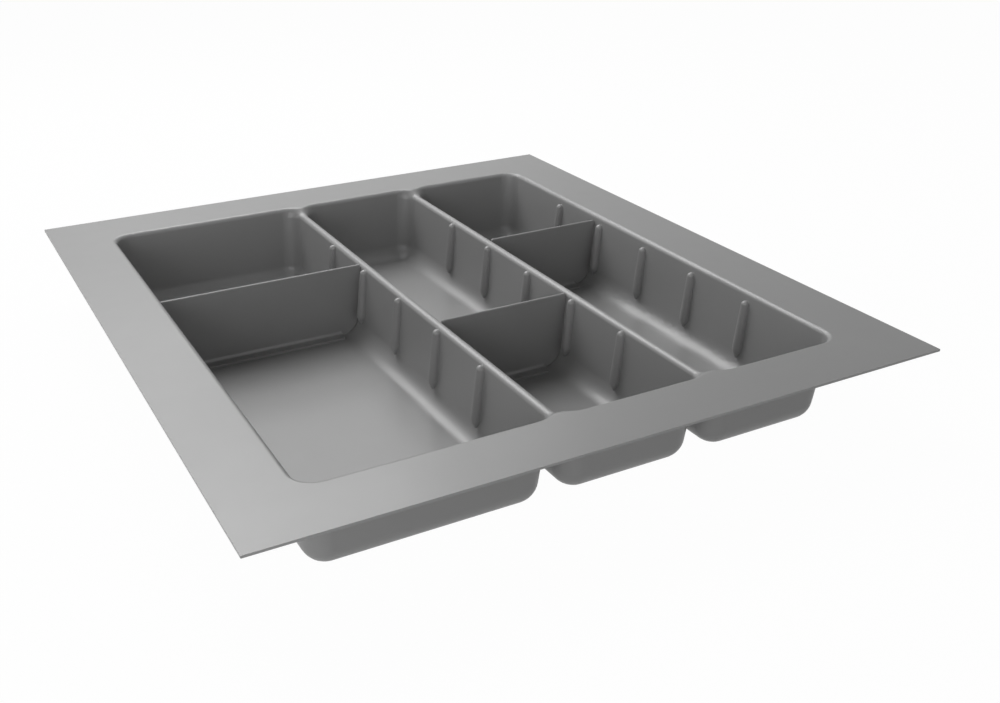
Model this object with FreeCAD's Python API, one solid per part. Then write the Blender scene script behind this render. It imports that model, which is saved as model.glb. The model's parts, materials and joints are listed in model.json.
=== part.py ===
import FreeCAD, Part
import math
import os

# A shallow drawer tray for cutlery, pressed from one plastic sheet, with three loose cross dividers.
# Millimetres. X runs across the tray, +Y to its back, +Z up.
# The origin is under the middle of the tray, on the plane of the trough undersides.

# Tray sheet and flange
flange_width = 440.0
flange_depth = 495.0
flange_border = 40.0        # flat border, from the outer edge to where the rim starts to turn down
tray_height = 59.0
sheet = 1.5                 # thickness of the sheet everywhere
draft_angle = 5.5           # lean of every wall away from upright, in degrees
rim_round = 3.5             # upper skin where the flange turns down into the troughs
trough_round = 13.0         # inside corners and floor edges of the troughs

# Hollow walls between the troughs
wide_bay = 154.0            # left edge of the opening to the middle of the first wall
wall_round = 3.4            # round top of a wall, and so half its thickness there
wall_drop = 4.3             # top of a wall below the flange

# Ribs that stand out of the lengthwise walls
rib_count = 5
rib_pitch = 60.0
rib_drop = 8.8              # middle of a rib's round upper end below the flange, on faces that look to -X
low_rib_drop = 13.1         # the same on faces that look to +X
rib_lift = 15.0             # widest place of a rib above the trough's floor
rib_tip_length = 5.5        # from the widest place down to the point where the foot runs out
rib_top_half = 3.0          # half width, and radius of the crest, at the upper end
rib_foot_half = 3.4         # the same at the widest place
rib_top_proud = 3.8         # crest ahead of the wall at the upper end
rib_foot_proud = 4.9        # crest ahead of the wall at the widest place
rib_foot_round = 8.0        # round along the flanks at the widest place
rib_root = 4.5              # how far a rib runs back from the middle of its round crest into the wall

# Loose cross dividers
divider_thickness = 2.0
divider_gap = 0.3           # clearance between a divider's edge and the trough
divider_rib_gap = 4.6       # clearance between a divider's face and the rib ahead of it
divider_corner_round = 1.5
divider_edge_round = 0.8
foot_reach = 8.0            # foot ahead of and behind the upright plate
foot_thickness = 1.5
foot_end_gap = 1.0          # clearance between the foot's ends and the rounds beside the trough's floor
foot_corner_round = 2.0
foot_root_round = 2.5

# The bays from left to right, each with the rib, counted from the front, that its divider stands behind
divider_ribs = {"wide_bay_divider": 4, "middle_bay_divider": 2, "right_bay_divider": 4}

# How far cutting solids run past what they cut, and how near counts as the same place
past = 20.0
tiny = 1e-6

lean = math.radians(draft_angle)
opening_width = flange_width - 2 * flange_border
opening_depth = flange_depth - 2 * flange_border
bay_count = len(divider_ribs)
narrow_bay = (opening_width - wide_bay) / (bay_count - 1)
wall_xs = [-opening_width / 2 + wide_bay + i * narrow_bay for i in range(bay_count - 1)]
rib_ys = [(i - (rib_count - 1) / 2) * rib_pitch for i in range(rib_count)]
floor_level = sheet
wall_centre_level = tray_height - wall_drop - wall_round

# Wall faces at flange level: the rim's round pushes the outer ones in from the edge of the opening
rim_setback = rim_round * math.tan((math.pi / 2 - lean) / 2)
wall_half = wall_round / math.cos(lean) - (wall_drop + wall_round) * math.tan(lean)
left_faces = [-opening_width / 2 + rim_setback] + [x + wall_half for x in wall_xs]
right_faces = [x - wall_half for x in wall_xs] + [opening_width / 2 - rim_setback]


def point(x, y, z):
    return FreeCAD.Vector(x, y, z)


def face_shift(level):
    # How far a leaning wall has moved in from its place at flange level
    return (tray_height - level) * math.tan(lean)


def slab(half_x, half_y, low, high):
    return Part.makeBox(2 * half_x, 2 * half_y, high - low, point(-half_x, -half_y, low))


def basin(offset):
    # The whole opening without its walls, as a plain box with leaning sides
    rings = []
    for level in (floor_level - offset, tray_height + past):
        grow = offset / math.cos(lean) - rim_setback - face_shift(level)
        half_x = opening_width / 2 + grow
        half_y = opening_depth / 2 + grow
        corners = [(-half_x, -half_y), (half_x, -half_y), (half_x, half_y), (-half_x, half_y)]
        rings.append(Part.makePolygon([point(x, y, level) for x, y in corners + corners[:1]]))
    return Part.makeLoft(rings, True, True)


def wall(x, offset):
    # One lengthwise wall: leaning sides and a full round top
    radius = wall_round - offset
    side = radius * math.cos(lean)
    side_level = wall_centre_level + radius * math.sin(lean)
    foot = side + (side_level + past) * math.tan(lean)
    end = -opening_depth / 2 - past
    foot_left = point(x - foot, end, -past)
    side_left = point(x - side, end, side_level)
    crown = point(x, end, wall_centre_level + radius)
    side_right = point(x + side, end, side_level)
    foot_right = point(x + foot, end, -past)
    outline = Part.Wire([
        Part.makeLine(foot_left, side_left),
        Part.Arc(side_left, crown, side_right).toShape(),
        Part.makeLine(side_right, foot_right),
        Part.makeLine(foot_right, foot_left),
    ])
    return Part.Face(outline).extrude(point(0, -2 * end, 0))


def is_level(edge, level):
    return abs(edge.BoundBox.ZMin - level) < tiny and edge.BoundBox.ZLength < tiny


def is_climbing(edge):
    # Edges where a wall meets the front or the back of the opening, and the opening's four corners
    box = edge.BoundBox
    return box.ZLength > tiny and max(box.XLength, box.YLength) < narrow_bay / 2


def is_inside(edge):
    # Edges of the opening, and not of the flange's outline
    return edge.BoundBox.XMax < flange_width / 2 - tiny and edge.BoundBox.XMin > tiny - flange_width / 2


def skin(offset, cover):
    # All the space over one skin of the sheet: the troughs, and a cover over the flange
    space = basin(offset)
    for x in wall_xs:
        space = space.cut(wall(x, offset))
    space = space.removeSplitter().Solids[0]
    rounded = [e for e in space.Edges if is_climbing(e) or is_level(e, floor_level - offset)]
    space = space.makeFillet(trough_round + offset, rounded)
    space = space.common(slab(flange_width, flange_depth, -past, tray_height - offset))
    space = space.fuse(cover).removeSplitter().Solids[0]
    rim = [e for e in space.Edges if is_level(e, tray_height - offset) and is_inside(e)]
    return space.makeFillet(rim_round - offset, rim).Solids[0]


# A rib is half of a round spindle, whose axis lies a little ahead of the wall's face, on a flat-sided root.
# It is made on a wall that looks to +X and stands at x = 0 at the flange's level.
def rib_point(out, level):
    # A place on the rib's axis, by its distance out of the wall's face
    return point(face_shift(level) + out / math.cos(lean), 0, level)


rib_start = rib_point(rib_foot_proud - rib_foot_half, floor_level + rib_lift)
rib_end = rib_point(rib_top_proud - rib_top_half, tray_height - rib_drop)
rib_axis = (rib_end - rib_start).normalize()
rib_taper = math.atan((rib_foot_half - rib_top_half) / rib_start.distanceToPoint(rib_end))
tip_taper = math.atan(rib_foot_half / rib_tip_length)


def rib(drop, offset):
    # A cone that narrows to a round upper end, and below its widest place a shorter one to a tip
    upper = (math.sin(rib_taper), math.cos(rib_taper))
    lower = (-math.sin(tip_taper), math.cos(tip_taper))
    bend = (math.tan(rib_taper) + math.tan(tip_taper)) / (1 / lower[1] - 1 / upper[1])
    knee_along = rib_foot_round / bend
    knee = (knee_along, rib_foot_half - knee_along * math.tan(rib_taper) - rib_foot_round / upper[1])
    middle = ((tray_height - drop - rib_start.z) / rib_axis.z, 0)
    end_round = (rib_foot_half - middle[0] * math.tan(rib_taper)) * upper[1]

    def place(centre, turn, radius):
        along = centre[0] + radius * turn[0]
        return rib_start + rib_axis * along + point(0, centre[1] + radius * turn[1], 0)

    def between(turn):
        length = math.hypot(upper[0] + turn[0], upper[1] + turn[1])
        return ((upper[0] + turn[0]) / length, (upper[1] + turn[1]) / length)

    tip = place((offset / math.sin(tip_taper) - rib_tip_length, 0), lower, 0)
    knee_places = [place(knee, turn, rib_foot_round - offset) for turn in (lower, between(lower), upper)]
    end_places = [place(middle, turn, end_round - offset) for turn in (upper, between((1, 0)), (1, 0))]
    half = Part.Face(Part.Wire([
        Part.makeLine(tip, knee_places[0]),
        Part.Arc(*knee_places).toShape(),
        Part.makeLine(knee_places[2], end_places[0]),
        Part.Arc(*end_places).toShape(),
        Part.makeLine(end_places[2], tip),
    ]))
    root = half.extrude(point(-rib_axis.z, 0, rib_axis.x) * rib_root)
    other_root = root.mirror(point(0, 0, 0), point(0, 1, 0))
    return half.revolve(rib_start, -rib_axis, 180).fuse([root, other_root]).removeSplitter().Solids[0]


def ribs(offset):
    right_looking = rib(low_rib_drop, offset)
    left_looking = rib(rib_drop, offset).mirror(point(0, 0, 0), point(1, 0, 0))
    solids = []
    for y in rib_ys:
        solids += [right_looking.translated(point(x, y, 0)) for x in left_faces]
        solids += [left_looking.translated(point(x, y, 0)) for x in right_faces]
    return solids


def tray():
    over = skin(0, slab(flange_width, flange_depth, tray_height, tray_height + past))
    under = skin(sheet, slab(flange_width / 2, flange_depth / 2, tray_height - sheet, tray_height))
    over = over.cut(ribs(0))
    under = under.cut(ribs(sheet))
    return under.cut(over).removeSplitter().Solids[0]


def divider(left_face, right_face, rib_y):
    # An upright plate that follows the trough's section, on a flat foot
    middle = (left_face + right_face) / 2
    half = (right_face - left_face) / 2
    front = rib_y + rib_foot_half + divider_rib_gap
    corner_round = trough_round - divider_gap
    corner_level = floor_level + trough_round
    corner_x = half - face_shift(corner_level) - trough_round / math.cos(lean)
    top_level = tray_height - wall_drop
    top_x = half - face_shift(top_level) - divider_gap / math.cos(lean)

    def edge_points(side):
        centre = point(middle + side * corner_x, front, corner_level)
        turns = [lean, (lean + math.pi / 2) / 2, math.pi / 2]
        arc = [centre + corner_round * point(side * math.cos(a), 0, -math.sin(a)) for a in turns]
        return [point(middle + side * top_x, front, top_level)] + arc

    right = edge_points(1)
    left = edge_points(-1)
    outline = Part.Wire([
        Part.makeLine(right[0], right[1]),
        Part.Arc(*right[1:]).toShape(),
        Part.makeLine(right[3], left[3]),
        Part.Arc(*reversed(left[1:])).toShape(),
        Part.makeLine(left[1], left[0]),
        Part.makeLine(left[0], right[0]),
    ])
    plate = Part.Face(outline).extrude(point(0, divider_thickness, 0))
    top_corners = [e for e in plate.Edges if e.BoundBox.ZLength < tiny and e.BoundBox.XLength < tiny
                   and e.BoundBox.ZMax > top_level - tiny]
    plate = plate.makeFillet(divider_corner_round, top_corners)
    rims = [e for e in plate.Edges if e.BoundBox.YLength < tiny]
    plate = plate.makeFillet(divider_edge_round, rims)

    foot_half = corner_x - foot_end_gap
    return plate.fuse(foot(middle, foot_half, front)).removeSplitter().Solids[0]


def foot(middle, half_length, front):
    # A flat foot with a stem that stands inside the plate, and a small cove on each side of the stem
    start = middle - half_length
    rear = front + divider_thickness
    top = floor_level + foot_thickness
    cove_middle = foot_root_round * (1 - math.sqrt(0.5))
    rear_side = [
        point(start, rear + foot_reach, floor_level),
        point(start, rear + foot_reach, top),
        point(start, rear + foot_root_round, top),
        point(start, rear + cove_middle, top + cove_middle),
        point(start, rear, top + foot_root_round),
        point(start, rear, floor_level + trough_round),
    ]
    front_side = [point(start, front + rear - p.y, p.z) for p in rear_side]

    def side_edges(side):
        flat = [Part.makeLine(side[0], side[1]), Part.makeLine(side[1], side[2])]
        return flat + [Part.Arc(*side[2:5]).toShape(), Part.makeLine(side[4], side[5])]

    sole = Part.makeLine(front_side[0], rear_side[0])
    stem_top = Part.makeLine(rear_side[-1], front_side[-1])
    profile = Part.Wire([sole] + side_edges(rear_side) + [stem_top] + side_edges(front_side)[::-1])
    bar = Part.Face(profile).extrude(point(2 * half_length, 0, 0))
    corners = [e for e in bar.Edges if abs(e.BoundBox.ZLength - foot_thickness) < tiny]
    return bar.makeFillet(foot_corner_round, corners)


os.makedirs("parts", exist_ok=True)
tray().exportStep("parts/tray.step")
for name, left_face, right_face in zip(divider_ribs, left_faces, right_faces):
    rib_y = rib_ys[divider_ribs[name] - 1]
    divider(left_face, right_face, rib_y).exportStep("parts/" + name + ".step")
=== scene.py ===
import json
import math
import bpy
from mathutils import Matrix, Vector

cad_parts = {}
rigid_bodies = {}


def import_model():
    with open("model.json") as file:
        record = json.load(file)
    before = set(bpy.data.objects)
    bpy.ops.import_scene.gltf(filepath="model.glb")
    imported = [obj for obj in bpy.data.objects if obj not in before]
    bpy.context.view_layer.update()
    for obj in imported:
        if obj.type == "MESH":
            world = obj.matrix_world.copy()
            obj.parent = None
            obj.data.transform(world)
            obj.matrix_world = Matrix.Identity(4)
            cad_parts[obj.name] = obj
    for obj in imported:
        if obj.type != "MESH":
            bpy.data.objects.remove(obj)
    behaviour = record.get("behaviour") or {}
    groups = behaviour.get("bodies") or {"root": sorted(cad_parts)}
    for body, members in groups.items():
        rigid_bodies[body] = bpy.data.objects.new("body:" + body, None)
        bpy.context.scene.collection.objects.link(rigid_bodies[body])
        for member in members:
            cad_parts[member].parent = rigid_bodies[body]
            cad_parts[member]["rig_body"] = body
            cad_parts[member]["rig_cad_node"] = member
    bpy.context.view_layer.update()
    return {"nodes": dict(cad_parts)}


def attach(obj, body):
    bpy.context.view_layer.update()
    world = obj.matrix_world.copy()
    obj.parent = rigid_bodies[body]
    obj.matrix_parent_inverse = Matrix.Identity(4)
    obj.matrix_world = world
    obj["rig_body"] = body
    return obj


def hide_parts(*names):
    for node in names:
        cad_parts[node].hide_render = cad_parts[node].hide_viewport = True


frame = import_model()
print("frame loaded:", ", ".join(sorted(frame["nodes"])))


def hexToLinear(text):
    # sRGB hex to the linear colour that the shaders take
    channels = [int(text[i:i + 2], 16) / 255 for i in (1, 3, 5)]
    linear = [c / 12.92 if c <= 0.04045 else ((c + 0.055) / 1.055) ** 2.4 for c in channels]
    return (*linear, 1.0)


def addNode(tree, kind, settings=None, links=None):
    # one node: settings are sockets or properties, links come from other nodes' outputs
    node = tree.nodes.new(kind)
    for name, value in (settings or {}).items():
        if isinstance(name, int) or name in node.inputs:
            node.inputs[name].default_value = value
        else:
            setattr(node, name, value)
    for name, output in (links or {}).items():
        tree.links.new(output, node.inputs[name])
    return node


def newMaterial(name):
    material = bpy.data.materials.new(name)
    material.use_nodes = True
    material.node_tree.nodes.clear()
    return material, material.node_tree


def perMetre(millimetres):
    # noise scale whose features are about this wide
    return 1000.0 / millimetres


# Polystyrene sheet, heated and pressed: one grey right through, satin, with a fine rolled grain,
# a very slight waviness over the flat areas and patches that are a little smoother than others.
# A thin, glossier skin, kept as a coat, draws out the lights along the rounds.
sheetLook = {
    "grey": "#959595",
    "paleGrey": "#9a9a9a",
    "ior": 1.59,
    "roughest": 0.44,
    "smoothest": 0.40,
    "coat": 0.3,
    "coatRoughness": 0.2,
    "cloudMm": 70.0,        # tone patches
    "patchMm": 24.0,        # gloss patches
    "grainMm": 1.4,         # real grain is nearer 0.4, drawn coarser so that it shows
    "grainDepthMm": 0.006,
    "waveMm": 55.0,
    "waveDepthMm": 0.012,
}

# The same plastic, injection moulded: as satin as the sheet, with a finer grain and smaller patches.
dividerLook = {
    "grey": "#919191",
    "paleGrey": "#969696",
    "ior": 1.59,
    "roughest": 0.44,
    "smoothest": 0.40,
    "coat": 0.3,
    "coatRoughness": 0.2,
    "cloudMm": 45.0,
    "patchMm": 16.0,
    "grainMm": 1.1,         # drawn coarser than the real grain so that it shows
    "grainDepthMm": 0.005,
    "waveMm": 40.0,
    "waveDepthMm": 0.008,
}


noiseSpan = (0.3, 0.7)      # the values that most of a noise lies between


def satinPolystyrene(name, look):
    material, tree = newMaterial(name)
    place = addNode(tree, "ShaderNodeTexCoord").outputs["Object"]
    cloud = addNode(tree, "ShaderNodeTexNoise",
                    {"Scale": perMetre(look["cloudMm"]), "Detail": 3.0}, {"Vector": place})
    patch = addNode(tree, "ShaderNodeTexNoise",
                    {"Scale": perMetre(look["patchMm"]), "Detail": 4.0}, {"Vector": place})
    grain = addNode(tree, "ShaderNodeTexNoise",
                    {"Scale": perMetre(look["grainMm"]), "Detail": 2.0}, {"Vector": place})
    wave = addNode(tree, "ShaderNodeTexNoise",
                   {"Scale": perMetre(look["waveMm"]), "Detail": 1.0}, {"Vector": place})
    tone = addNode(tree, "ShaderNodeMix",
                   {"data_type": "RGBA", 6: hexToLinear(look["grey"]), 7: hexToLinear(look["paleGrey"])},
                   {0: cloud.outputs["Fac"]})
    gloss = addNode(tree, "ShaderNodeMapRange",
                    {"From Min": noiseSpan[0], "From Max": noiseSpan[1],
                     "To Min": look["smoothest"], "To Max": look["roughest"]},
                    {"Value": patch.outputs["Fac"]})
    waviness = addNode(tree, "ShaderNodeBump", {"Strength": 1.0, "Distance": look["waveDepthMm"] / 1000},
                       {"Height": wave.outputs["Fac"]})
    surface = addNode(tree, "ShaderNodeBump", {"Strength": 1.0, "Distance": look["grainDepthMm"] / 1000},
                      {"Height": grain.outputs["Fac"], "Normal": waviness.outputs["Normal"]})
    plastic = addNode(tree, "ShaderNodeBsdfPrincipled",
                      {"IOR": look["ior"], "Coat Weight": look["coat"],
                       "Coat Roughness": look["coatRoughness"]},
                      {"Base Color": tone.outputs[2], "Roughness": gloss.outputs["Result"],
                       "Normal": surface.outputs["Normal"]})
    addNode(tree, "ShaderNodeOutputMaterial", None, {"Surface": plastic.outputs["BSDF"]})
    return material


pressedSheet = satinPolystyrene("pressedPolystyreneSheet", sheetLook)
mouldedPlate = satinPolystyrene("mouldedPolystyrene", dividerLook)
print("materials made")


weldDistance = 1e-6         # metres, far below any real gap


def mergedCopy(node, name):
    # a copy of a CAD node whose loose triangles are joined, so that it can be worked on
    bpy.ops.object.select_all(action="DESELECT")
    source = frame["nodes"][node]
    source.select_set(True)
    bpy.context.view_layer.objects.active = source
    bpy.ops.object.duplicate()
    piece = bpy.context.view_layer.objects.active
    piece.name = name
    piece.parent = None
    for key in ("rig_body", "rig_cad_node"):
        del piece[key]
    bpy.ops.mesh.customdata_custom_splitnormals_clear()
    bpy.ops.object.mode_set(mode="EDIT")
    bpy.ops.mesh.select_all(action="SELECT")
    bpy.ops.mesh.remove_doubles(threshold=weldDistance)
    bpy.ops.object.mode_set(mode="OBJECT")
    return piece


def finishPiece(piece, node, body, material, shape):
    # soft shading that keeps flat faces flat, then the plastic and the body it moves with
    bpy.ops.object.select_all(action="DESELECT")
    piece.select_set(True)
    bpy.context.view_layer.objects.active = piece
    bpy.ops.object.shade_smooth_by_angle(angle=math.radians(shape["smoothAngle"]))
    weighted = piece.modifiers.new("flatFaces", "WEIGHTED_NORMAL")
    weighted.keep_sharp = True
    weighted.weight = shape["flatWeight"]
    bpy.ops.object.modifier_apply(modifier=weighted.name)
    piece.data.materials.clear()
    piece.data.materials.append(material)
    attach(piece, body)
    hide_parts(node)


# smoothAngle in degrees, flatWeight up to 100, where large faces alone set the shading
trayShape = {"smoothAngle": 32.0, "flatWeight": 100}
dividerShape = {"smoothAngle": 32.0, "flatWeight": 100}

traySheet = mergedCopy("tray", "traySheet")
finishPiece(traySheet, "tray", "tray", pressedSheet, trayShape)
print("tray sheet done:", len(traySheet.data.polygons), "faces")

for bay in ("wide_bay", "middle_bay", "right_bay"):
    node = bay + "_divider"
    plate = mergedCopy(node, bay + "_plate")
    finishPiece(plate, node, node, mouldedPlate, dividerShape)
print("dividers done")

# Studio: a pale floor that reads as white and still takes a soft shadow, and a white surround
studio = {
    "floorSize": 12.0,
    "floorDrop": 0.0003,    # keeps the floor just clear of the tray's underside
    "floorColour": "#f4f4f4",
    "floorGlow": 0.98,      # share of the floor that is plain white to the eye
    "mirroredWhite": 0.6,   # how much of that white the satin surfaces mirror
    "surround": 0.02,       # weak light from all round
}

bpy.ops.object.select_all(action="DESELECT")
bpy.ops.mesh.primitive_plane_add(size=studio["floorSize"], location=(0, 0, -studio["floorDrop"]))
floor = bpy.context.object
floor.name = "studioFloor"
bpy.ops.object.transform_apply(location=True, rotation=True, scale=True)


def seenDirectly(tree):
    # 1 for rays from the eye, less for what a satin surface mirrors, 0 for the light that falls on things
    path = addNode(tree, "ShaderNodeLightPath")
    mirrored = addNode(tree, "ShaderNodeMath", {"operation": "MULTIPLY", 1: studio["mirroredWhite"]},
                       {0: path.outputs["Is Glossy Ray"]})
    seen = addNode(tree, "ShaderNodeMath", {"operation": "MAXIMUM"},
                   {0: path.outputs["Is Camera Ray"], 1: mirrored.outputs[0]})
    return seen.outputs[0]


paperFloor, floorTree = newMaterial("paperFloor")
glowShare = addNode(floorTree, "ShaderNodeMath", {"operation": "MULTIPLY", 1: studio["floorGlow"]},
                    {0: seenDirectly(floorTree)})
paper = addNode(floorTree, "ShaderNodeBsdfDiffuse", {"Color": hexToLinear(studio["floorColour"])})
glow = addNode(floorTree, "ShaderNodeEmission", {"Strength": 1.0})
mixed = addNode(floorTree, "ShaderNodeMixShader", None,
                {0: glowShare.outputs[0], 1: paper.outputs[0], 2: glow.outputs[0]})
clear = addNode(floorTree, "ShaderNodeBsdfTransparent")
under = addNode(floorTree, "ShaderNodeNewGeometry")
oneSided = addNode(floorTree, "ShaderNodeMixShader", None,
                   {0: under.outputs["Backfacing"], 1: mixed.outputs[0], 2: clear.outputs[0]})
addNode(floorTree, "ShaderNodeOutputMaterial", None, {"Surface": oneSided.outputs[0]})
floor.data.materials.append(paperFloor)

world = bpy.data.worlds.new("whiteStudio")
world.use_nodes = True
world.node_tree.nodes.clear()
worldTree = world.node_tree
ambient = addNode(worldTree, "ShaderNodeBackground", {"Strength": studio["surround"]})
white = addNode(worldTree, "ShaderNodeBackground", {"Strength": 1.0})
for background in (ambient, white):
    background.inputs["Color"].default_value = (1, 1, 1, 1)
worldMix = addNode(worldTree, "ShaderNodeMixShader", None,
                   {0: seenDirectly(worldTree), 1: ambient.outputs[0], 2: white.outputs[0]})
addNode(worldTree, "ShaderNodeOutputWorld", None, {"Surface": worldMix.outputs[0]})
bpy.context.scene.world = world

# Softboxes, all turned to the tray: direction from it in degrees, size in metres and power in watts.
# The four behind make the flange pale and leave the fronts dark. The two low ones in front fill the walls.
softboxes = {
    "backSoftbox": {"azimuth": 180.0, "height": 56.0, "size": 0.8, "watts": 5.2},
    "backRightSoftbox": {"azimuth": 165.0, "height": 42.0, "size": 0.8, "watts": 1.7},
    "backLeftSoftbox": {"azimuth": 195.0, "height": 42.0, "size": 0.8, "watts": 1.3},
    "highLeftSoftbox": {"azimuth": 210.0, "height": 50.0, "size": 0.8, "watts": 3.1},
    "frontLeftSoftbox": {"azimuth": 310.0, "height": 12.0, "size": 0.8, "watts": 4.2},
    "frontSoftbox": {"azimuth": 0.0, "height": 12.0, "size": 0.8, "watts": 1.3},
}
lampDistance = 1.15
lampTarget = Vector((0, 0, 0.04))
for name, box in softboxes.items():
    azimuth, height = math.radians(box["azimuth"]), math.radians(box["height"])
    level = math.cos(height)
    away = Vector((math.sin(azimuth) * level, -math.cos(azimuth) * level, math.sin(height)))
    bpy.ops.object.light_add(type="AREA", location=lampTarget + away * lampDistance)
    lamp = bpy.context.object
    lamp.name = name
    lamp.data.shape = "SQUARE"
    lamp.data.size = box["size"]
    lamp.data.energy = box["watts"]
    lamp.visible_camera = False
    lamp.rotation_euler = (-away).to_track_quat("-Z", "Y").to_euler()
print("studio lit")

# Camera of the photograph, solved from the flange's corners and the even rib spacing
viewpoint = {
    "eye": (-0.32514, -0.67241, 0.36056),
    "target": (-0.0167, -0.1194, 0.0590),
    "lens": 41.4918,        # millimetres, as the sensor's width
    "sensor": 36.0,
    "nearest": 0.01,        # metres, nothing closer is drawn
}
bpy.ops.object.camera_add(location=viewpoint["eye"])
camera = bpy.context.object
camera.name = "photoCamera"
camera.data.lens = viewpoint["lens"]
camera.data.sensor_width = viewpoint["sensor"]
camera.data.clip_start = viewpoint["nearest"]
sight = Vector(viewpoint["target"]) - Vector(viewpoint["eye"])
camera.rotation_euler = sight.to_track_quat("-Z", "Y").to_euler()
bpy.context.scene.camera = camera
bpy.context.scene.view_settings.view_transform = "Standard"
print("camera placed")
